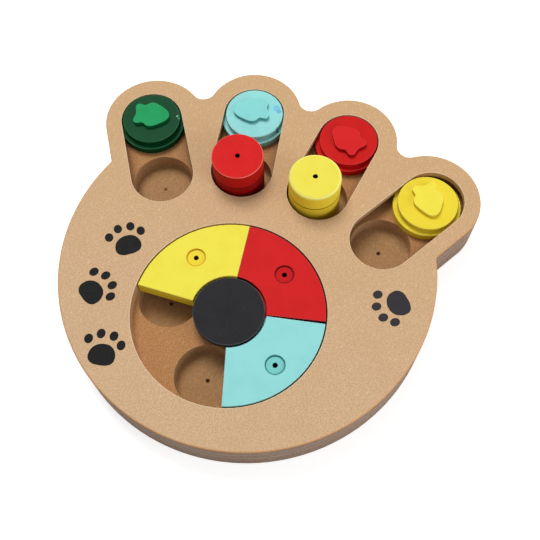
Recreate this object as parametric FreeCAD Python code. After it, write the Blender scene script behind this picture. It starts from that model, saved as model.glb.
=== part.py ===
import FreeCAD, Part
import math
import os

# Dog puzzle feeder: a paw-shaped board with a turntable ring of three sectors,
# four sliders in slots and two loose plugs. Millimetres, +Z up, +Y to the toes.
# Every piece is drawn about the turntable axis and moved to the frame at the end.

os.makedirs("parts", exist_ok=True)

# Board plates, from the underside up
base_plate_thickness = 15.0
middle_plate_thickness = 7.0
top_plate_thickness = 6.0
top_edge_round = 1.0
opening_edge_round = 0.5
underside_edge_bevel = 0.6

# Paw outline
pad_radius = 110.0
pad_centre_y = 31.5
outer_toe_x = 89.4
outer_toe_y = 106.9
outer_toe_radius = 30.8
inner_toe_x = 31.6
inner_toe_y = 132.4
inner_toe_radius = 29.7
valley_radius = 7.6
toe_root_radius = 2.0

# Slots, measured at the end nearer the turntable
slot_radius = 19.0
slot_lip_thickness = 4.0
slot_pitch = 41.7
outer_slot_x = 69.8
outer_slot_y = 71.3
outer_slot_tilt = 31.3
inner_slot_x = 24.5
inner_slot_y = 90.0
inner_slot_tilt = 9.05

# Turntable recess and cups
recess_radius = 56.0
recess_depth = 9.6
cup_radius = 18.3
cup_depth = 9.4
cup_floor_round = 1.0
cup_pitch_radius = 37.3
pilot_radius = 1.3
pilot_tip_radius = 0.2
pilot_depth = 1.6

# Clearances
seat_gap = 0.3
slide_gap = 1.0
recess_gap = 0.8
hub_gap = 0.4
screw_gap = 0.2

# Hub
hub_cap_radius = 20.5
hub_cap_thickness = 3.0
hub_cap_round = 0.6
hub_post_radius = 15.0
screw_radius = 2.0
screw_head_radius = 4.0
screw_head_recess = 0.2
screw_bite_in_cap = 2.0
screw_cross_length = 4.6
screw_cross_width = 1.0
screw_cross_depth = 1.4

# Sectors
sector_angle = 84.6
sector_top_drop = 0.1
sector_inner_radius = 21.7
sector_edge_round = 0.6
sector_bore_radius = 5.5
sector_bore_depth = 0.9
sector_hole_radius = 1.4
sector_hole_depth = 5.0
yellow_sector_heading = 139.3
red_sector_heading = 54.5
turquoise_sector_heading = -31.5
sector_bore_pitch = 39.0
turquoise_bore_pitch = 41.3

# Sliders
slider_disc_drop = 0.5
slider_flange_overhang = 1.5
slider_flange_thickness = 4.8
slider_edge_round = 0.6
flange_edge_round = 0.5
fish_thickness = 2.5
fish_edge_round = 0.35
stop_gap = 0.3
slider_setbacks = [0.0, 0.0, 0.0, 4.1]
slider_side_shifts = [0.0, 0.0, 0.0, 0.7]

# Fish emblem, one half from nose to tail fork, mirrored for the other half
fish_half = [
    (11.8, 0.0), (10.9, 2.8), (7.9, 5.5), (3.8, 8.0), (0.4, 9.0),
    (-2.3, 8.1), (-4.2, 6.7), (-8.4, 7.3), (-10.1, 5.7), (-9.8, 2.6), (-9.3, 0.0),
]
green_fish = (-0.8, 1.2, 13.0)
turquoise_fish = (-1.7, 1.0, 201.0)
red_fish = (-0.1, -1.2, 151.0)
yellow_fish = (-0.45, 1.3, -57.0)

# Plugs
plug_radius = 15.6
plug_top_thickness = 12.0
plug_body_thickness = 24.0
plug_foot_round = 1.5
plug_joint_bevel = 0.35
red_plug_edge_round = 0.8
yellow_plug_edge_round = 2.0
plug_hole_radius = 1.4
plug_hole_depth = 8.0
red_plug_lean = (-1.5, -1.6)
yellow_plug_lean = (-2.35, -0.3)

# Levels and radii that follow from the sizes above
base_top = base_plate_thickness
middle_top = base_top + middle_plate_thickness
board_top = middle_top + top_plate_thickness
recess_floor = board_top - recess_depth
cup_floor = recess_floor - cup_depth
slot_lip_base = board_top - slot_lip_thickness
slider_disc_radius = slot_radius - slide_gap
flange_radius = slot_radius + slider_flange_overhang
channel_radius = flange_radius + slide_gap
flange_base = recess_floor + seat_gap
disc_base = flange_base + slider_flange_thickness
disc_top = board_top - slider_disc_drop
sector_base = recess_floor + seat_gap
sector_top = board_top - sector_top_drop
sector_outer_radius = recess_radius - recess_gap
sector_lip_radius = hub_post_radius + hub_gap
hub_cap_base = board_top - hub_cap_thickness
sector_lip_top = hub_cap_base - hub_gap
plug_base = cup_floor + seat_gap
plug_joint = plug_base + plug_body_thickness
plug_top = plug_joint + plug_top_thickness
slider_limit = slot_pitch + slide_gap - stop_gap

# The frame's origin is the middle of the paw's outline, on the underside
paw_top_y = inner_toe_y + inner_toe_radius
paw_bottom_y = pad_centre_y - pad_radius
frame_shift = FreeCAD.Vector(0, -(paw_top_y + paw_bottom_y) / 2, 0)

# One row per slot: end near the turntable, and lean of the slot from +Y towards +X
slots = [
    (-outer_slot_x, outer_slot_y, -outer_slot_tilt),
    (-inner_slot_x, inner_slot_y, -inner_slot_tilt),
    (inner_slot_x, inner_slot_y, inner_slot_tilt),
    (outer_slot_x, outer_slot_y, outer_slot_tilt),
]
UP = FreeCAD.Vector(0, 0, 1)

# Two edges this close count as lying at the same place
same_place = 0.001


def flat(x, y, z=0.0):
    return FreeCAD.Vector(x, y, z)


def polar(centre, radius, heading):
    angle = math.radians(heading)
    return centre + flat(radius * math.cos(angle), radius * math.sin(angle))


def along_slot(slot, distance):
    x, y, tilt = slot
    return polar(flat(x, y), distance, 90.0 - tilt)


def disc(radius, height, centre, z):
    return Part.makeCylinder(radius, height, flat(centre.x, centre.y, z), UP)


def edges_at(shape, z, radius=None):
    found = []
    for edge in shape.Edges:
        box = edge.BoundBox
        if abs(box.ZMin - z) > same_place or abs(box.ZMax - z) > same_place:
            continue
        if radius is None:
            found.append(edge)
        elif hasattr(edge.Curve, "Radius") and abs(edge.Curve.Radius - radius) < same_place:
            found.append(edge)
    return found


def rounded(shape, z, size):
    return shape.makeFillet(size, edges_at(shape, z))


def bevelled(shape, z, size):
    return shape.makeChamfer(size, edges_at(shape, z))


def touching_circle(first, first_radius, second, second_radius, radius):
    # Centre of a circle that touches two others from outside, on the left of first to second
    a = first_radius + radius
    b = second_radius + radius
    gap = second - first
    step = (gap.Length ** 2 + a ** 2 - b ** 2) / (2 * gap.Length)
    rise = math.sqrt(a ** 2 - step ** 2)
    unit = gap / gap.Length
    return first + unit * step + flat(-unit.y, unit.x) * rise


def arc_between(centre, radius, start, end, inward):
    # The arc runs round the side that inward points to
    middle = centre + inward * (radius / inward.Length)
    return Part.Arc(start, middle, end).toShape()


def point_towards(centre, radius, target):
    step = target - centre
    return centre + step * (radius / step.Length)


def paw_half():
    # Right-hand half of the outline, from the notch between the inner toes to the pad's foot
    inner = flat(inner_toe_x, inner_toe_y)
    outer = flat(outer_toe_x, outer_toe_y)
    pad = flat(0, pad_centre_y)
    mirrored = flat(-inner_toe_x, inner_toe_y)
    notch = touching_circle(mirrored, inner_toe_radius, inner, inner_toe_radius, valley_radius)
    valley = touching_circle(inner, inner_toe_radius, outer, outer_toe_radius, valley_radius)
    notch_foot = notch - flat(0, valley_radius)
    notch_end = point_towards(notch, valley_radius, inner)
    valley_start = point_towards(valley, valley_radius, inner)
    valley_end = point_towards(valley, valley_radius, outer)
    lean = math.radians(outer_slot_tilt)
    side = flat(math.cos(lean), -math.sin(lean))
    down = flat(-math.sin(lean), -math.cos(lean))
    side_top = outer + side * outer_toe_radius
    # The root arc touches the toe's straight side and the pad's circle
    line_point = side_top + side * toe_root_radius
    to_line = line_point - pad
    reach = pad_radius + toe_root_radius
    half = to_line.dot(down)
    travel = -half - math.sqrt(half ** 2 - to_line.Length ** 2 + reach ** 2)
    root = line_point + down * travel
    root_start = root - side * toe_root_radius
    root_end = point_towards(root, toe_root_radius, pad)
    foot = flat(0, pad_centre_y - pad_radius)
    notch_side = (notch_foot - notch) + (notch_end - notch)
    inner_side = (notch_end - inner) + (valley_start - inner)
    valley_side = (valley_start - valley) + (valley_end - valley)
    outer_side = (valley_end - outer) + (side_top - outer)
    root_side = (root_start - root) + (root_end - root)
    pad_side = (root_end - pad) + (foot - pad)
    return [
        arc_between(notch, valley_radius, notch_foot, notch_end, notch_side),
        arc_between(inner, inner_toe_radius, notch_end, valley_start, inner_side),
        arc_between(valley, valley_radius, valley_start, valley_end, valley_side),
        arc_between(outer, outer_toe_radius, valley_end, side_top, outer_side),
        Part.makeLine(side_top, root_start),
        arc_between(root, toe_root_radius, root_start, root_end, root_side),
        arc_between(pad, pad_radius, root_end, foot, pad_side),
    ]


def paw_blank(z, thickness):
    edges = paw_half()
    mirror = [edge.mirror(FreeCAD.Vector(0, 0, 0), flat(1, 0)) for edge in edges]
    wire = Part.Wire(Part.__sortEdges__(edges + mirror))
    blank = Part.Face(wire).extrude(flat(0, 0, thickness))
    blank.translate(flat(0, 0, z))
    return blank


def stadium(slot, radius, z, height):
    near = along_slot(slot, 0)
    far = along_slot(slot, slot_pitch)
    side = (far - near).cross(UP)
    side = side * (radius / side.Length)
    tip_far = along_slot(slot, slot_pitch + radius)
    tip_near = along_slot(slot, -radius)
    wire = Part.Wire([
        Part.makeLine(near + side, far + side),
        Part.Arc(far + side, tip_far, far - side).toShape(),
        Part.makeLine(far - side, near - side),
        Part.Arc(near - side, tip_near, near + side).toShape(),
    ])
    body = Part.Face(wire).extrude(flat(0, 0, height))
    body.translate(flat(0, 0, z))
    return body


def cup_centres():
    centres = [along_slot(slot, 0) for slot in slots]
    for quarter in range(4):
        centres.append(polar(flat(0, 0), cup_pitch_radius, 90.0 * quarter))
    return centres


def cup_cutter(centre):
    # A flat-bottomed bore with a small round at its foot and the bit's pilot mark
    bore = disc(cup_radius, recess_depth + cup_depth, centre, cup_floor)
    bore = rounded(bore, cup_floor, cup_floor_round)
    tip = flat(centre.x, centre.y, cup_floor - pilot_depth)
    return bore.fuse(Part.makeCone(pilot_tip_radius, pilot_radius, pilot_depth, tip, UP))


def screw_hole():
    bore_radius = screw_radius + screw_gap
    mouth_radius = screw_head_radius + screw_gap + screw_head_recess
    shank = disc(bore_radius, recess_floor, flat(0, 0), 0)
    sink = Part.makeCone(mouth_radius, bore_radius, mouth_radius - bore_radius, flat(0, 0), UP)
    return shank.fuse(sink)


def top_plate():
    plate = paw_blank(middle_top, top_plate_thickness)
    plate = rounded(plate, board_top, top_edge_round)
    plate = plate.cut(disc(recess_radius, board_top, flat(0, 0), 0))
    for slot in slots:
        plate = plate.cut(stadium(slot, slot_radius, 0, board_top))
        plate = plate.cut(stadium(slot, channel_radius, 0, slot_lip_base))
    rims = edges_at(plate, board_top, recess_radius) + edges_at(plate, board_top, slot_radius)
    for edge in edges_at(plate, board_top):
        if not hasattr(edge.Curve, "Radius") and abs(edge.Length - slot_pitch) < same_place:
            rims.append(edge)
    return plate.makeFillet(opening_edge_round, rims)


def middle_plate():
    plate = paw_blank(base_top, middle_plate_thickness)
    plate = plate.cut(disc(recess_radius, board_top, flat(0, 0), recess_floor))
    for slot in slots:
        plate = plate.cut(stadium(slot, channel_radius, recess_floor, board_top))
    for centre in cup_centres():
        plate = plate.cut(cup_cutter(centre))
    return plate.cut(screw_hole())


def base_plate():
    plate = paw_blank(0, base_plate_thickness)
    plate = bevelled(plate, 0, underside_edge_bevel)
    for centre in cup_centres():
        plate = plate.cut(cup_cutter(centre))
    return plate.cut(screw_hole())


def hub_post():
    post = disc(hub_post_radius, hub_cap_base - recess_floor, flat(0, 0), recess_floor)
    return post.cut(disc(screw_radius, board_top, flat(0, 0), 0))


def hub_cap():
    cap = disc(hub_cap_radius, hub_cap_thickness, flat(0, 0), hub_cap_base)
    cap = rounded(cap, board_top, hub_cap_round)
    return cap.cut(disc(screw_radius, screw_bite_in_cap, flat(0, 0), hub_cap_base))


def hub_screw():
    head_height = screw_head_radius - screw_radius
    head = Part.makeCone(screw_head_radius, screw_radius, head_height, flat(0, 0, screw_head_recess), UP)
    shank_base = screw_head_recess + head_height
    shank_length = hub_cap_base + screw_bite_in_cap - shank_base
    shank = disc(screw_radius, shank_length, flat(0, 0), shank_base)
    screw = head.fuse(shank).removeSplitter()
    long_side = screw_cross_length / 2
    short_side = screw_cross_width / 2
    for half_x, half_y in ((long_side, short_side), (short_side, long_side)):
        corner = flat(-half_x, -half_y, screw_head_recess)
        screw = screw.cut(Part.makeBox(half_x * 2, half_y * 2, screw_cross_depth, corner))
    return screw


def wedge(inner, outer, heading, z, height):
    start = heading - sector_angle / 2
    end = heading + sector_angle / 2
    origin = flat(0, 0)
    inner_arc = [polar(origin, inner, turn) for turn in (start, heading, end)]
    outer_arc = [polar(origin, outer, turn) for turn in (start, heading, end)]
    wire = Part.Wire([
        Part.makeLine(inner_arc[0], outer_arc[0]),
        Part.Arc(*outer_arc).toShape(),
        Part.makeLine(outer_arc[2], inner_arc[2]),
        Part.Arc(*reversed(inner_arc)).toShape(),
    ])
    body = Part.Face(wire).extrude(flat(0, 0, height))
    body.translate(flat(0, 0, z))
    return body


def sector(heading, bore_pitch):
    lip_height = sector_lip_top - sector_base
    block_height = sector_top - sector_base
    lip = wedge(sector_lip_radius, sector_outer_radius, heading, sector_base, lip_height)
    block = wedge(sector_inner_radius, sector_outer_radius, heading, sector_base, block_height)
    block = rounded(block, sector_top, sector_edge_round)
    piece = block.fuse(lip).removeSplitter()
    centre = polar(flat(0, 0), bore_pitch, heading)
    piece = piece.cut(disc(sector_bore_radius, sector_bore_depth, centre, sector_top - sector_bore_depth))
    hole_base = sector_top - sector_bore_depth - sector_hole_depth
    return piece.cut(disc(sector_hole_radius, board_top, centre, hole_base))


def slider_centre(number):
    # The setback is from the far end, the side shift to the left of the slot's own line
    slot = slots[number]
    sideways = polar(flat(0, 0), slider_side_shifts[number], 180.0 - slot[2])
    return along_slot(slot, slider_limit - slider_setbacks[number]) + sideways


def slider_flange(number):
    piece = disc(flange_radius, slider_flange_thickness, slider_centre(number), flange_base)
    return rounded(piece, disc_base, flange_edge_round)


def slider_disc(number):
    piece = disc(slider_disc_radius, disc_top - disc_base, slider_centre(number), disc_base)
    return rounded(piece, disc_top, slider_edge_round)


def fish(number, placing):
    lower = [(x, -y) for x, y in reversed(fish_half[1:-1])]
    points = [flat(x, y) for x, y in fish_half + lower]
    curve = Part.BSplineCurve()
    curve.interpolate(Points=points, PeriodicFlag=True)
    piece = Part.Face(Part.Wire(curve.toShape())).extrude(flat(0, 0, fish_thickness))
    piece = rounded(piece, fish_thickness, fish_edge_round)
    x, y, heading = placing
    piece.rotate(FreeCAD.Vector(0, 0, 0), UP, heading)
    piece.translate(slider_centre(number) + flat(x, y, disc_top))
    return piece


def plug_centre(number, lean):
    return along_slot(slots[number], 0) + flat(lean[0], lean[1])


def plug_body(number, lean):
    piece = disc(plug_radius, plug_body_thickness, plug_centre(number, lean), plug_base)
    piece = rounded(piece, plug_base, plug_foot_round)
    return bevelled(piece, plug_joint, plug_joint_bevel)


def plug_top_disc(number, lean, edge_round):
    centre = plug_centre(number, lean)
    piece = disc(plug_radius, plug_top_thickness, centre, plug_joint)
    piece = rounded(piece, plug_top, edge_round)
    piece = bevelled(piece, plug_joint, plug_joint_bevel)
    return piece.cut(disc(plug_hole_radius, plug_hole_depth, centre, plug_top - plug_hole_depth))


def save(name, shape):
    shape.translate(frame_shift)
    shape.exportStep("parts/" + name + ".step")


save("top_plate", top_plate())
save("middle_plate", middle_plate())
save("base_plate", base_plate())
save("hub_post", hub_post())
save("hub_cap", hub_cap())
save("hub_screw", hub_screw())
save("sector_yellow", sector(yellow_sector_heading, sector_bore_pitch))
save("sector_red", sector(red_sector_heading, sector_bore_pitch))
save("sector_turquoise", sector(turquoise_sector_heading, turquoise_bore_pitch))

sliders = [
    ("green", green_fish), ("turquoise", turquoise_fish),
    ("red", red_fish), ("yellow", yellow_fish),
]
for number, (colour, placing) in enumerate(sliders):
    save("slider_flange_" + colour, slider_flange(number))
    save("slider_disc_" + colour, slider_disc(number))
    save("fish_" + colour, fish(number, placing))

save("plug_body_red", plug_body(1, red_plug_lean))
save("plug_top_red", plug_top_disc(1, red_plug_lean, red_plug_edge_round))
save("plug_body_yellow", plug_body(2, yellow_plug_lean))
save("plug_top_yellow", plug_top_disc(2, yellow_plug_lean, yellow_plug_edge_round))
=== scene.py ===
import math

import bmesh
import bpy
from mathutils import Matrix, Vector


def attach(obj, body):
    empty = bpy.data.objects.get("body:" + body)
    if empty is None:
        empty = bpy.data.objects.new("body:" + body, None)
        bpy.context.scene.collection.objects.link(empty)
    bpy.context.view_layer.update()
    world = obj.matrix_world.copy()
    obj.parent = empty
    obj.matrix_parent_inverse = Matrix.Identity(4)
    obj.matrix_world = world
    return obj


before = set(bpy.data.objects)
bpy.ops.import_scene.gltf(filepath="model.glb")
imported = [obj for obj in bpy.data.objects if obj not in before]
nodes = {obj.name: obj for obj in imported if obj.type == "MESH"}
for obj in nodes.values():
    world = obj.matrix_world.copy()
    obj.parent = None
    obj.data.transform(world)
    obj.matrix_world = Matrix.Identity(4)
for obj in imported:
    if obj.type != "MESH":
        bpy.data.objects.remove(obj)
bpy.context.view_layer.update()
scene = bpy.context.scene
scene.view_settings.view_transform = "Standard"


# Camera: held up at about 68 degrees in front of the board and a little to its right, with
# the board turned on the table, as the toy was photographed.
camera_place = Vector((0.08106, -0.19211, 0.45514))
camera_forward = Vector((-0.14316, 0.38773, -0.91059))
camera_up = Vector((-0.29331, 0.86211, 0.41320))
camera_lens = 54.05

camera_data = bpy.data.cameras.new("camera")
camera_data.lens = camera_lens
camera_data.sensor_width = 36.0
camera_data.clip_start = 0.01
camera = bpy.data.objects.new("camera", camera_data)
back = -camera_forward.normalized()
right = camera_up.cross(back).normalized()
level = back.cross(right)
camera.matrix_world = Matrix((
    (right.x, level.x, back.x, camera_place.x),
    (right.y, level.y, back.y, camera_place.y),
    (right.z, level.z, back.z, camera_place.z),
    (0.0, 0.0, 0.0, 1.0),
))
scene.collection.objects.link(camera)
scene.camera = camera


# Studio light: one big soft box overhead, leaning in from behind the toes on the left, so
# that walls facing the camera fall into shade, and a weak sheet of light from the right.
def soft_box(name, place, side, power):
    # A square lamp that points at the middle of the board
    lamp_data = bpy.data.lights.new(name, "AREA")
    lamp_data.shape = "SQUARE"
    lamp_data.size = side
    lamp_data.energy = power
    lamp = bpy.data.objects.new(name, lamp_data)
    lamp.location = place
    lamp.rotation_euler = (-Vector(place)).to_track_quat("-Z", "Y").to_euler()
    scene.collection.objects.link(lamp)


soft_box("overhead_box", place=(-0.75, 0.95, 2.0), side=1.1, power=38.5)
soft_box("right_sheet", place=(1.35, -0.30, 0.62), side=0.9, power=8.5)


# Room: an even white light from all round. Straight lines of sight, gloss and clear things
# find the same plain white in it as in the floor.
def background_share(tree):
    # 1 where the background is looked at, 0 where it only lights the toy
    seen = tree.nodes.new("ShaderNodeLightPath")
    share = seen.outputs["Is Camera Ray"]
    for kind in ("Is Glossy Ray", "Is Transmission Ray"):
        either = tree.nodes.new("ShaderNodeMath")
        either.operation = "MAXIMUM"
        tree.links.new(share, either.inputs[0])
        tree.links.new(seen.outputs[kind], either.inputs[1])
        share = either.outputs[0]
    return share


room_light = 0.36
world = bpy.data.worlds.new("studio")
scene.world = world
world.use_nodes = True
sky = world.node_tree.nodes["Background"]
sky.inputs["Color"].default_value = (1.0, 1.0, 1.0, 1.0)
room = world.node_tree.nodes.new("ShaderNodeMapRange")
room.inputs["To Min"].default_value = room_light
room.inputs["To Max"].default_value = 1.0
world.node_tree.links.new(background_share(world.node_tree), room.inputs["Value"])
world.node_tree.links.new(room.outputs[0], sky.inputs["Strength"])


# Floor: a white sweep under the toy. To the camera, to gloss and through clear things it shows
# as plain white, less the soft shadow that the toy leaves on it.
floor_drop = 0.0001
floor_reach = 6.0
floor_mesh = bmesh.new()
bmesh.ops.create_grid(floor_mesh, x_segments=1, y_segments=1, size=floor_reach)
bmesh.ops.translate(floor_mesh, verts=floor_mesh.verts, vec=(0.0, 0.0, -floor_drop))
floor_data = bpy.data.meshes.new("floor")
floor_mesh.to_mesh(floor_data)
floor_mesh.free()
floor = bpy.data.objects.new("floor", floor_data)
scene.collection.objects.link(floor)

floor_glow = 0.62
paper_white = 0.80
sweep = bpy.data.materials.new("white_sweep")
sweep.use_nodes = True
sweep_tree = sweep.node_tree
sweep_tree.nodes.clear()
out = sweep_tree.nodes.new("ShaderNodeOutputMaterial")
paper = sweep_tree.nodes.new("ShaderNodeBsdfDiffuse")
paper.inputs["Color"].default_value = (paper_white, paper_white, paper_white, 1.0)
glow = sweep_tree.nodes.new("ShaderNodeEmission")
lift = sweep_tree.nodes.new("ShaderNodeMath")
lift.operation = "MULTIPLY"
lift.inputs[1].default_value = floor_glow
total = sweep_tree.nodes.new("ShaderNodeAddShader")
sweep_tree.links.new(background_share(sweep_tree), lift.inputs[0])
sweep_tree.links.new(lift.outputs[0], glow.inputs["Strength"])
sweep_tree.links.new(paper.outputs[0], total.inputs[0])
sweep_tree.links.new(glow.outputs[0], total.inputs[1])
sweep_tree.links.new(total.outputs[0], out.inputs["Surface"])
floor.data.materials.append(sweep)


# Board: three sheets of raw fibreboard, cut to the paw, glued in a stack and lightly sanded.
# The faces show fine felted fibres and the cut edges are darker and streaked. The top corners are
# lightened by a painted highlight, pale round the openings where sanding wear adds to it.
def srgb(red, green, blue):
    # A colour as it is read off a screen, 0 to 255, turned to the linear value a shader takes
    linear = []
    for value in (red, green, blue):
        share = value / 255.0
        linear.append(share / 12.92 if share <= 0.04045 else ((share + 0.055) / 1.055) ** 2.4)
    return (*linear, 1.0)


class Paint:
    """A material's node tree, with short names for the nodes that this toy's finishes need."""

    def __init__(self, name):
        self.material = bpy.data.materials.new(name)
        self.material.use_nodes = True
        self.tree = self.material.node_tree
        self.shader = self.tree.nodes["Principled BSDF"]
        self.place = self.tree.nodes.new("ShaderNodeTexCoord").outputs["Object"]

    def join(self, source, socket):
        if hasattr(source, "links"):
            self.tree.links.new(source, socket)
        else:
            socket.default_value = source

    def maths(self, operation, first, second=0.0):
        node = self.tree.nodes.new("ShaderNodeMath")
        node.operation = operation
        self.join(first, node.inputs[0])
        self.join(second, node.inputs[1])
        return node.outputs[0]

    def times(self, first, second):
        return self.maths("MULTIPLY", first, second)

    def length(self, across, along):
        return self.maths("SQRT", self.maths("ADD", self.times(across, across), self.times(along, along)))

    def axis(self, letter):
        if not hasattr(self, "split"):
            self.split = self.tree.nodes.new("ShaderNodeSeparateXYZ")
            self.join(self.place, self.split.inputs[0])
        return self.split.outputs[letter]

    def facing_up(self):
        node = self.tree.nodes.new("ShaderNodeNewGeometry")
        split = self.tree.nodes.new("ShaderNodeSeparateXYZ")
        self.join(node.outputs["Normal"], split.inputs[0])
        return split.outputs["Z"]

    def noise(self, size, detail=4.0, stretch=(1.0, 1.0, 1.0), roughness=0.55, shift=0.0):
        mapping = self.tree.nodes.new("ShaderNodeMapping")
        mapping.inputs["Scale"].default_value = stretch
        mapping.inputs["Location"].default_value = (shift, shift * 1.7, shift * 0.6)
        self.join(self.place, mapping.inputs["Vector"])
        node = self.tree.nodes.new("ShaderNodeTexNoise")
        node.inputs["Scale"].default_value = 1.0 / size
        node.inputs["Detail"].default_value = detail
        node.inputs["Roughness"].default_value = roughness
        self.join(mapping.outputs[0], node.inputs["Vector"])
        return node.outputs["Fac"]

    def between(self, source, low, high, start=0.0, end=1.0, smooth=True):
        node = self.tree.nodes.new("ShaderNodeMapRange")
        node.interpolation_type = "SMOOTHSTEP" if smooth else "LINEAR"
        for name, value in (("From Min", low), ("From Max", high), ("To Min", start), ("To Max", end)):
            node.inputs[name].default_value = value
        self.join(source, node.inputs["Value"])
        return node.outputs[0]

    def blend(self, share, first, second):
        node = self.tree.nodes.new("ShaderNodeMix")
        node.data_type = "RGBA"
        self.join(share, node.inputs[0])
        self.join(first, node.inputs[6])
        self.join(second, node.inputs[7])
        return node.outputs[2]

    def bump(self, height, depth, strength):
        node = self.tree.nodes.new("ShaderNodeBump")
        node.inputs["Strength"].default_value = strength
        node.inputs["Distance"].default_value = depth
        self.join(height, node.inputs["Height"])
        self.join(node.outputs[0], self.shader.inputs["Normal"])

    def distance_from(self, x, y):
        # How far a point is from an upright axis through x, y
        across = self.maths("SUBTRACT", self.axis("X"), x)
        along = self.maths("SUBTRACT", self.axis("Y"), y)
        return self.length(across, along)

    def distance_from_line(self, start, end):
        # How far a point is, seen from above, from the straight line between two places
        run_x = end[0] - start[0]
        run_y = end[1] - start[1]
        run = math.hypot(run_x, run_y)
        from_x = self.maths("SUBTRACT", self.axis("X"), start[0])
        from_y = self.maths("SUBTRACT", self.axis("Y"), start[1])
        along = self.maths("ADD", self.times(from_x, run_x / run), self.times(from_y, run_y / run))
        across = self.maths("SUBTRACT", self.times(from_x, run_y / run), self.times(from_y, run_x / run))
        nearest = self.maths("MINIMUM", self.maths("MAXIMUM", along, 0.0), run)
        return self.length(self.maths("SUBTRACT", along, nearest), across)


edge_brown = srgb(150, 124, 104)
edge_streak = srgb(118, 96, 81)
edge_pale = srgb(186, 164, 147)
joint_dark = srgb(96, 72, 52)
joint_pale = srgb(222, 208, 196)
# In metres: the board's ends along Y, the heights at which the sheets meet and, measured from
# a joint, where the dark line fades out and the pale glue fades in and out
board_ends = (-0.12, 0.12)
plate_joints = (0.015, 0.022)
joint_fades = (0.0001, 0.0004)
glue_starts = (0.0002, 0.0005)
glue_ends = (0.0010, 0.0014)


def felted_face(paint, fine, flecks, face_tan, fibre_pale, fibre_dark, heel_tan):
    # The face colour is painted a little greyer towards the heel than at the toes: painted light, for the way
    # the light falls across the board
    plain = paint.blend(paint.between(paint.axis("Y"), *board_ends), heel_tan, face_tan)
    face = paint.blend(paint.between(fine, 0.3, 0.66, 0.0, 0.9), fibre_dark, plain)
    face = paint.blend(paint.between(flecks, 0.5, 0.72, 0.0, 0.6), face, fibre_pale)
    clouds = paint.noise(0.02, 3.0, shift=1.3)
    return paint.blend(paint.between(clouds, 0.4, 0.7, 0.0, 0.12), face, fibre_dark)


def cut_edge(paint, rough_cut):
    # The edge is packed in thin even layers, with a dark line at each joint and pale glue under it
    streaks = paint.noise(0.0011, 3.0, stretch=(0.04, 0.04, 1.0), roughness=0.6, shift=5.2)
    side = paint.blend(paint.between(streaks, 0.32, 0.68, 0.25, 1.0), edge_streak, edge_brown)
    side = paint.blend(paint.between(rough_cut, 0.42, 0.72, 0.0, 0.7), side, edge_pale)
    for height in plate_joints:
        below = paint.maths("SUBTRACT", height, paint.axis("Z"))
        glue = paint.times(paint.between(below, *glue_starts), paint.between(below, *glue_ends, 0.4, 0.0))
        side = paint.blend(glue, side, joint_pale)
        gap = paint.maths("ABSOLUTE", below)
        side = paint.blend(paint.between(gap, *joint_fades, 0.7, 0.0), side, joint_dark)
    return side


wall_tan = srgb(196, 160, 120)
wall_dark = srgb(172, 134, 96)
channel_floor_shade = srgb(112, 80, 52)
# Seen from above, in metres: the turntable's middle, and each slot's line from its cup to its
# far end. The reaches take in the walls of the recess and of the channels under the slots.
turntable = (0.0, -0.0418)
recess_reach = 0.0585
slot_reach = 0.0235
slot_lines = [
    ((-0.0698, 0.0295), (-0.09146, 0.06513)), ((-0.0245, 0.0482), (-0.03106, 0.08938)),
    ((0.0245, 0.0482), (0.03106, 0.08938)), ((0.0698, 0.0295), (0.09146, 0.06513)),
]
# The painted shade lies this far from a slot's line, only on the floor of its channel
wall_shade_start = 0.011
wall_shade_full = 0.021
over_channel_floor = (0.019, 0.020)
soft_border = 0.0005


def routed(paint, face, side, rough_cut):
    # Walls inside the recess, the slots and the cups were cut clean and stay tan, and the floor of each
    # channel is painted darker towards its walls as shade
    wall = paint.blend(paint.between(rough_cut, 0.35, 0.7), wall_dark, wall_tan)
    low = paint.between(paint.axis("Z"), *over_channel_floor, 1.0, 0.0)
    out_of_middle = paint.distance_from(*turntable)
    inside = paint.between(out_of_middle, recess_reach, recess_reach + soft_border, 1.0, 0.0)
    for start, end in slot_lines:
        away = paint.distance_from_line(start, end)
        near = paint.between(away, slot_reach, slot_reach + soft_border, 1.0, 0.0)
        inside = paint.maths("MAXIMUM", inside, near)
        shade_by_walls = paint.times(paint.between(away, wall_shade_start, wall_shade_full, 0.0, 0.55), near)
        face = paint.blend(paint.times(shade_by_walls, low), face, channel_floor_shade)
    return inside, face, paint.blend(inside, side, wall)


corner_pale_wear_and_highlight = srgb(236, 214, 184)
corner_orange_highlight = srgb(214, 152, 92)
# The rounding of the top corners starts in this band of heights
corner_heights = (0.0262, 0.0266)
pilot_dark = srgb(96, 64, 38)
pilot_reach = 0.00135
cup_floor_height = 0.009
# The bit's pilot mark shows dark in these cups, but not in the cup of the green slider
cup_pilots = [(0.0698, 0.0295), (0.0373, -0.0418), (0.0, -0.0045), (-0.0373, -0.0418), (0.0, -0.0791)]


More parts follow.
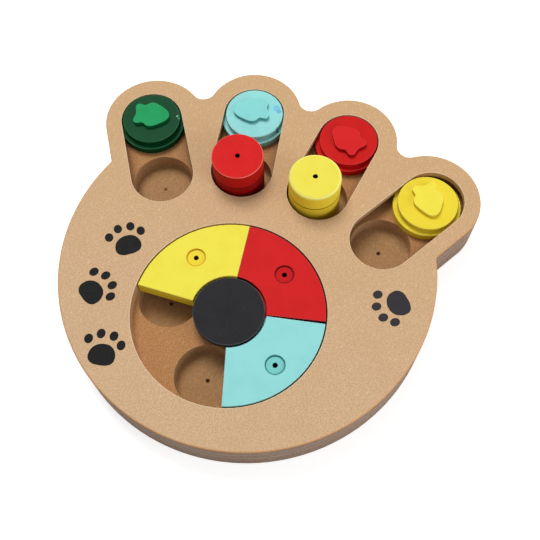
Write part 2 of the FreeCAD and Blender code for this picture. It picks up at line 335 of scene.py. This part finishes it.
def fibreboard(name, face_tan, fibre_pale, fibre_dark, heel_tan, pilots=()):
    paint = Paint(name)
    fine = paint.noise(0.0008, 2.0, roughness=0.65)
    flecks = paint.noise(0.0016, 4.0, stretch=(1.0, 0.5, 1.0), roughness=0.75, shift=3.1)
    rough_cut = paint.noise(0.0007, 3.0, stretch=(0.6, 0.6, 1.0), shift=2.2)
    face = felted_face(paint, fine, flecks, face_tan, fibre_pale, fibre_dark, heel_tan)
    inside, face, side = routed(paint, face, cut_edge(paint, rough_cut), rough_cut)
    up = paint.maths("ABSOLUTE", paint.facing_up())
    colour = paint.blend(paint.between(up, 0.2, 0.75), side, face)
    # The top corners are lightened by a painted highlight: orange round the outside, pale round the openings,
    # where sanding wear adds to it
    slope = paint.times(paint.between(up, 0.35, 0.7), paint.between(up, 0.9, 0.999, 1.0, 0.0))
    corner = paint.times(slope, paint.between(paint.axis("Z"), *corner_heights))
    corner_highlight_and_wear = paint.blend(inside, corner_orange_highlight, corner_pale_wear_and_highlight)
    colour = paint.blend(paint.times(corner, 0.85), colour, corner_highlight_and_wear)
    for pilot in pilots:
        hole = paint.between(paint.distance_from(*pilot), pilot_reach * 0.8, pilot_reach, 1.0, 0.0)
        sunk = paint.between(paint.axis("Z"), cup_floor_height - 0.0001, cup_floor_height, 1.0, 0.0)
        colour = paint.blend(paint.times(hole, sunk), colour, pilot_dark)
    paint.join(colour, paint.shader.inputs["Base Color"])
    paint.join(paint.between(fine, 0.3, 0.7, 0.8, 0.94), paint.shader.inputs["Roughness"])
    paint.shader.inputs["Specular IOR Level"].default_value = 0.15
    grain = paint.maths("ADD", paint.times(fine, 0.6), flecks)
    paint.bump(grain, 0.00010, 0.5)
    return paint.material


def dress(node, material):
    mesh = nodes[node].data
    mesh.materials.clear()
    mesh.materials.append(material)


dress("top_plate", fibreboard("sanded_fibreboard", srgb(210, 173, 130), srgb(224, 194, 156),
                              srgb(188, 151, 111), srgb(215, 184, 150)))
dress("middle_plate", fibreboard("routed_fibreboard", srgb(192, 141, 94), srgb(206, 158, 110),
                                 srgb(156, 108, 68), srgb(190, 139, 92)))
dress("base_plate", fibreboard("bored_fibreboard", srgb(184, 145, 102), srgb(196, 156, 112),
                               srgb(158, 118, 78), srgb(176, 134, 92), cup_pilots))


# Printed paws: four little paws in black screen ink on the bare board, three to the left of
# the turntable and one to its right. The ink is a film with a faintly uneven face.
board_top = 0.028
# One print is drawn in millimetres from the middle of its pad, with the toes upwards. A toe is
# an oval: x, y, width, height.
ink_thickness = 0.04
pad_points = [
    (0.2, 6.9), (4.2, 5.9), (6.7, 3.1), (7.6, -0.6), (6.6, -3.7), (3.6, -5.3),
    (-0.6, -5.6), (-4.8, -5.0), (-7.2, -2.9), (-7.7, 0.3), (-6.6, 3.6), (-3.9, 6.0),
]
toes = [(-9.7, 8.6, 5.0, 5.7), (-3.5, 12.6, 4.9, 5.7), (4.0, 12.2, 4.9, 5.7), (9.2, 7.5, 4.9, 5.8)]


def ink_film(name, black, worn):
    paint = Paint(name)
    uneven = paint.noise(0.0012, 4.0, roughness=0.7)
    colour = paint.blend(paint.between(uneven, 0.4, 0.75, 0.0, 0.6), black, worn)
    paint.join(colour, paint.shader.inputs["Base Color"])
    paint.join(paint.between(uneven, 0.3, 0.7, 0.55, 0.8), paint.shader.inputs["Roughness"])
    paint.shader.inputs["Specular IOR Level"].default_value = 0.1
    paint.bump(uneven, 0.00005, 0.4)
    return paint.material


def printed_paw(name, place, ink):
    # The pad is a closed curve through its points. It and the toes are raised by the ink's thickness.
    drawing = bpy.data.curves.new(name, "CURVE")
    drawing.dimensions = "2D"
    drawing.fill_mode = "BOTH"
    drawing.resolution_u = 6
    line = drawing.splines.new("BEZIER")
    line.use_cyclic_u = True
    line.bezier_points.add(len(pad_points) - 1)
    for knot, point in zip(line.bezier_points, pad_points):
        knot.co = (*point, 0.0)
        knot.handle_left_type = "AUTO"
        knot.handle_right_type = "AUTO"
    pad = bpy.data.objects.new(name, drawing)
    mesh = bmesh.new()
    mesh.from_mesh(bpy.data.meshes.new_from_object(pad))
    bpy.data.objects.remove(pad)
    for x, y, wide, tall in toes:
        oval = Matrix.Translation((x, y, 0.0)) @ Matrix.Diagonal((wide, tall, 1.0, 1.0))
        bmesh.ops.create_circle(mesh, cap_ends=True, segments=28, radius=0.5, matrix=oval)
    bmesh.ops.remove_doubles(mesh, verts=mesh.verts, dist=0.001)
    raised = bmesh.ops.extrude_face_region(mesh, geom=list(mesh.faces), use_keep_orig=True)
    lifted = [item for item in raised["geom"] if isinstance(item, bmesh.types.BMVert)]
    bmesh.ops.translate(mesh, verts=lifted, vec=(0.0, 0.0, ink_thickness))
    bmesh.ops.transform(mesh, matrix=place, verts=mesh.verts)
    bmesh.ops.recalc_face_normals(mesh, faces=mesh.faces)
    data = bpy.data.meshes.new(name)
    mesh.to_mesh(data)
    mesh.free()
    piece = bpy.data.objects.new(name, data)
    scene.collection.objects.link(piece)
    piece.data.materials.append(ink)
    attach(piece, "board")


black_ink = ink_film("black_ink", srgb(22, 21, 21), srgb(38, 36, 35))
faded_ink = ink_film("faded_black_ink", srgb(46, 44, 48), srgb(66, 63, 66))
# Each print has its pad's place in millimetres and the heading of its toes in degrees from the
# X axis. The last one is mirrored.
for name, x, y, heading, side, ink in (
    ("print_upper_left", -70.0, -22.2, 126.1, 1.0, black_ink),
    ("print_left", -78.8, -56.6, 57.1, 1.0, black_ink),
    ("print_lower_left", -57.3, -89.4, 99.7, 1.0, black_ink),
    ("print_right", 90.0, -6.2, -136.8, -1.0, faded_ink),
):
    # Drawn in millimetres, turned to its heading and set on the board, which is in metres
    to_board = Matrix.Translation((x / 1000.0, y / 1000.0, board_top))
    turn = Matrix.Rotation(math.radians(heading - 90.0), 4, "Z")
    printed_paw(name, to_board @ turn @ Matrix.Diagonal((side / 1000.0, 0.001, 0.001, 1.0)), ink)


# Hub: a black-stained cap over the post that the three sectors turn round, held from
# below by one steel screw.
def painted_wood(name, colour, deep, pale, rough=0.6, edge_wear_and_highlight=0.5, shade=None, rings=(), line=None):
    # shade is painted shade: a darker colour given to upright sides so that they look shaded.
    # rings are round marks, each x, y, from radius, to radius, colour. line is one level mark:
    # height, half its width, colour.
    paint = Paint(name)
    clouds = paint.noise(0.012, 4.0, shift=0.7)
    specks = paint.noise(0.0009, 3.0, roughness=0.7, shift=2.9)
    up = paint.maths("ABSOLUTE", paint.facing_up())
    tint = paint.blend(paint.between(clouds, 0.38, 0.68, 0.0, 0.45), colour, deep)
    if shade:
        tint = paint.blend(paint.between(up, 0.1, 0.6, 1.0, 0.0), tint, shade)
    tint = paint.blend(paint.between(specks, 0.55, 0.8, 0.0, 0.22), tint, pale)
    # Rounded edges are lightened with the pale colour, partly as wear and partly as painted highlight
    edge = paint.times(paint.between(up, 0.25, 0.6), paint.between(up, 0.85, 0.995, 1.0, 0.0))
    worn = paint.times(edge, paint.between(clouds, 0.3, 0.6, 0.6 * edge_wear_and_highlight, edge_wear_and_highlight))
    tint = paint.blend(worn, tint, pale)
    ragged = paint.between(specks, 0.3, 0.7, -0.00015, 0.00015, smooth=False)
    for x, y, inner, outer, mark in rings:
        away = paint.maths("ADD", paint.distance_from(x, y), ragged)
        band = paint.times(paint.between(away, inner - 0.0002, inner + 0.0001),
                           paint.between(away, outer - 0.0001, outer + 0.0002, 1.0, 0.0))
        tint = paint.blend(band, tint, mark)
    if line:
        height, half, mark = line
        away = paint.maths("ABSOLUTE", paint.maths("SUBTRACT", paint.axis("Z"), height))
        tint = paint.blend(paint.between(away, half * 0.6, half, 0.95, 0.0), tint, mark)
    paint.join(tint, paint.shader.inputs["Base Color"])
    paint.join(paint.between(specks, 0.3, 0.75, rough - 0.06, rough + 0.12), paint.shader.inputs["Roughness"])
    paint.shader.inputs["Specular IOR Level"].default_value = 0.07
    skin = paint.noise(0.0016, 3.0, roughness=0.5, shift=4.4)
    paint.bump(paint.maths("ADD", skin, paint.times(specks, 0.5)), 0.00008, 0.5)
    return paint.material


# The cap's rounded rim is lightened with the pale colour, partly wear and partly painted highlight
hub_finish = painted_wood("black_stain", srgb(42, 42, 45), srgb(34, 34, 37), srgb(104, 104, 108),
                          rough=0.7, edge_wear_and_highlight=0.6)
dress("hub_cap", hub_finish)
dress("hub_post", hub_finish)

steel = Paint("zinc_plated_steel")
steel_marks = steel.noise(0.0006, 4.0, stretch=(1.0, 1.0, 0.3))
steel.join(steel.blend(steel.between(steel_marks, 0.3, 0.7), srgb(150, 152, 154), srgb(196, 197, 198)),
           steel.shader.inputs["Base Color"])
steel.join(steel.between(steel_marks, 0.3, 0.7, 0.25, 0.45), steel.shader.inputs["Roughness"])
steel.shader.inputs["Metallic"].default_value = 1.0
steel.bump(steel_marks, 0.00003, 0.3)
dress("hub_screw", steel.material)


# Sectors: three quarter-ring covers in painted fibreboard, with a shallow counterbore and a
# peg hole each. The peg hole is painted dark as shade, the counterbore's floor a little darker
# and its rim as a darker line, and the upright sides take a painted shade colour.
counterbore_reach = 0.0052
counterbore_rim = (0.0050, 0.0058)
peg_hole_reach = 0.0015
# A ring that starts this far short of its middle is a full spot
spot_start = -0.001


def sector_marks(pitch, heading, sunk, ring, hole):
    x = turntable[0] + pitch * math.cos(math.radians(heading))
    y = turntable[1] + pitch * math.sin(math.radians(heading))
    return [(x, y, spot_start, counterbore_reach, sunk), (x, y, *counterbore_rim, ring),
            (x, y, spot_start, peg_hole_reach, hole)]


for name, pitch, heading, colour, deep, pale, shade, sunk, ring, hole in (
    ("yellow", 0.039, 139.3, srgb(236, 224, 76), srgb(229, 213, 62), srgb(249, 241, 130),
     srgb(236, 212, 56), srgb(234, 214, 58), srgb(214, 168, 40), srgb(92, 62, 16)),
    ("red", 0.039, 54.5, srgb(205, 31, 33), srgb(192, 26, 28), srgb(228, 84, 80),
     srgb(96, 8, 10), srgb(194, 24, 26), srgb(132, 14, 16), srgb(56, 8, 8)),
    ("turquoise", 0.0413, -31.5, srgb(146, 215, 214), srgb(134, 207, 206), srgb(188, 235, 233),
     srgb(104, 190, 190), srgb(122, 202, 199), srgb(70, 140, 138), srgb(26, 52, 56)),
):
    marks = sector_marks(pitch, heading, sunk, ring, hole)
    coat = painted_wood(name + "_sector_paint", colour, deep, pale, shade=shade, rings=marks)
    dress("sector_" + name, coat)


# Sliders: a stepped knob in each slot, its flange held under the slot's lips, with a fish
# glued on top. All are dipped in one colour, apart from the brighter green fish. The green
# and the turquoise one carry a few small scuffs.
for name, colour, deep, pale, marks in (
    ("green", srgb(4, 67, 34), srgb(2, 55, 26), srgb(72, 138, 100),
     [(-0.07684, 0.07235, spot_start, 0.0007, srgb(96, 170, 128)),
      (-0.07520, 0.07100, spot_start, 0.0005, srgb(90, 160, 120)),
      (-0.08230, 0.08180, spot_start, 0.0004, srgb(120, 186, 150))]),
    ("turquoise", srgb(146, 215, 214), srgb(134, 206, 205), srgb(190, 236, 234),
     [(-0.01905, 0.09832, spot_start, 0.0022, srgb(122, 192, 218)),
      (-0.01700, 0.09640, spot_start, 0.0016, srgb(112, 178, 214)),
      (-0.01355, 0.08414, spot_start, 0.0008, srgb(58, 128, 130))]),
    ("red", srgb(198, 20, 19), srgb(184, 15, 15), srgb(226, 76, 72), []),
    ("yellow", srgb(233, 211, 56), srgb(223, 197, 42), srgb(247, 234, 112), []),
):
    coat = painted_wood(name + "_slider_paint", colour, deep, pale, rough=0.5, edge_wear_and_highlight=0.7, rings=marks)
    dress("slider_flange_" + name, coat)
    dress("slider_disc_" + name, coat)

# Each fish's upright sides take the last colour as painted shade
for name, colour, deep, pale, shade in (
    ("green", srgb(34, 155, 92), srgb(28, 142, 82), srgb(84, 184, 126), srgb(14, 104, 58)),
    ("turquoise", srgb(134, 211, 209), srgb(124, 203, 201), srgb(178, 231, 229), srgb(82, 172, 174)),
    ("red", srgb(210, 34, 36), srgb(200, 28, 30), srgb(230, 88, 84), srgb(158, 16, 20)),
    ("yellow", srgb(237, 223, 74), srgb(230, 212, 60), srgb(249, 241, 130), srgb(226, 198, 46)),
):
    dress("fish_" + name, painted_wood(name + "_fish_paint", colour, deep, pale, shade=shade))


# Plugs: two loose pegs, each turned from two discs glued face to face, with a blind hole in
# the top. They stand in the near ends of the middle slots.
glue_line = 0.0333
seam_half_width = 0.0006
for name, x, y, colour, deep, pale, shade, foot_shade, seam, hole in (
    ("red", -0.0260, 0.0466, srgb(210, 30, 30), srgb(198, 24, 24), srgb(240, 122, 114),
     srgb(180, 19, 16), srgb(150, 13, 11), srgb(70, 6, 8), srgb(30, 6, 6)),
    ("yellow", 0.02215, 0.0479, srgb(234, 222, 82), srgb(228, 212, 68), srgb(250, 243, 140),
     srgb(240, 216, 60), srgb(236, 208, 54), srgb(120, 90, 14), srgb(44, 32, 10)),
):
    # The top's sides and, darker still, the body's sides take painted shade, the body's because it stands
    # lower in the slot. The blind hole is painted dark as shade, and the top rim is lightened as wear and
    # painted highlight.
    for part, side in (("top", shade), ("body", foot_shade)):
        coat = painted_wood(name + "_plug_" + part + "_paint", colour, deep, pale, edge_wear_and_highlight=0.9, shade=side,
                            rings=[(x, y, spot_start, peg_hole_reach, hole)],
                            line=(glue_line, seam_half_width, seam))
        dress("plug_" + part + "_" + name, coat)
